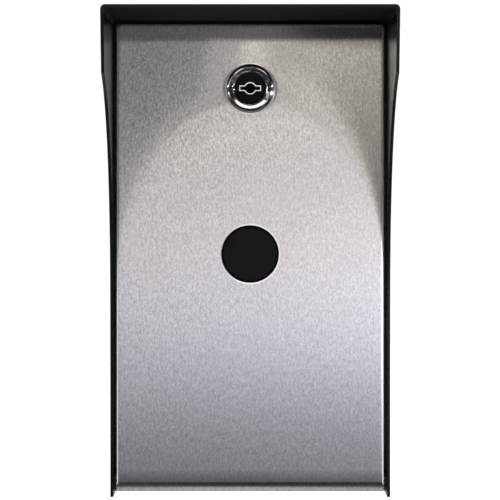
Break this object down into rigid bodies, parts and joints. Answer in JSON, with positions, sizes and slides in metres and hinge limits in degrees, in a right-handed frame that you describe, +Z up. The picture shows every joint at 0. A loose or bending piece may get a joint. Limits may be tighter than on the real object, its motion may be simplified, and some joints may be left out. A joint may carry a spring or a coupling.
{
  "type": "door intercom panel",
  "caption": "Wall-mounted door intercom panel: deep black rain hood over a brushed steel fold-down face with a key lock and a round call button, open below.",
  "frame": {"origin": "centre of the four wall fixing holes, on the wall plane at the back of the box", "axes": "+Z up; +Y into the wall; the face looks along -Y; +X to the right as seen from the front"},
  "size_m": [0.145, 0.095, 0.2483],
  "materials": {
    "black_coat": "semi-gloss black powder coat",
    "zinc_steel": "zinc plated steel",
    "box_zinc": "zinc-grey coated sheet steel",
    "brushed_stainless": "vertical brushed grain",
    "rubber_black": "black moulded rubber",
    "bright_steel": "bright turned metal",
    "black_gloss": "satin black",
    "black_anodised": "black anodised",
    "black_plastic": "matte black",
    "chip_black": "moulded epoxy",
    "brass": "turned brass",
    "nylon_white": "natural nylon",
    "board_green": "solder mask",
    "block_green": "moulded terminal housing",
    "relay_blue": "moulded cover",
    "can_aluminium": "drawn can",
    "transformer_yellow": "taped winding",
    "foam_grey": "closed-cell foam",
    "cone_paper": "polymer cone",
    "ferrite": "sintered ferrite"
  },
  "bodies": {
    "housing": {"rain_hood": "black_coat", "hood_screws": "black_coat", "hood_nuts": "zinc_steel", "back_plate": "box_zinc", "box_walls": "box_zinc", "box_neck": "box_zinc", "hinge_brackets": "black_coat", "hinge_rivets": "zinc_steel", "hinge_pin": "zinc_steel", "lock_strike": "zinc_steel", "strike_rivets": "zinc_steel", "tamper_reed": "nylon_white", "cable_grommet": "rubber_black", "earth_stud": "brass", "earth_nut": "brass", "main_board": "board_green", "board_standoffs": "brass", "board_screws": "zinc_steel", "terminal_block": "block_green", "terminal_screws": "zinc_steel", "relay": "relay_blue", "capacitors": "can_aluminium", "processor": "chip_black", "small_chips": "chip_black", "board_connectors": "nylon_white", "audio_transformer": "transformer_yellow", "volume_trimmer": "relay_blue", "speaker_gasket": "foam_grey", "speaker_frame": "chip_black", "speaker_cone": "cone_paper", "speaker_magnet": "ferrite", "microphone_boot": "rubber_black", "microphone": "can_aluminium"},
    "door": {"front_door": "brushed_stainless", "door_gasket": "rubber_black", "lock_body": "bright_steel", "lock_ring": "bright_steel", "lock_washer": "rubber_black", "lock_nut": "zinc_steel", "button_collar": "black_anodised", "button_seal": "rubber_black", "button_nut": "black_anodised", "button_switch": "chip_black", "switch_dome": "zinc_steel", "switch_terminals": "brass", "button_spring": "zinc_steel", "tamper_magnet": "nylon_white"},
    "lock_barrel": {"lock_plug": "black_gloss", "keyway_rim": "bright_steel", "lock_cam": "zinc_steel", "lock_cam_nut": "zinc_steel"},
    "button": {"call_button": "black_plastic", "button_clip": "zinc_steel"}
  },
  "joints": [
    {"name": "door_hinge", "type": "hinge", "parent": "housing", "child": "door", "pos_m": [0, -0.0322, -0.1168], "axis": [1, 0, 0], "range_deg": [0, 180]},
    {"name": "lock_turn", "type": "hinge", "parent": "door", "child": "lock_barrel", "pos_m": [0, -0.038, 0.08715], "axis": [0, 1, 0], "range_deg": [0, 90]},
    {"name": "button_press", "type": "slide", "parent": "door", "child": "button", "axis": [0, 1, 0], "range_m": [0, 0.002], "stiffness_N_per_m": 1500, "springref_m": -0.0015, "deforming": ["button_spring"]}
  ]
}
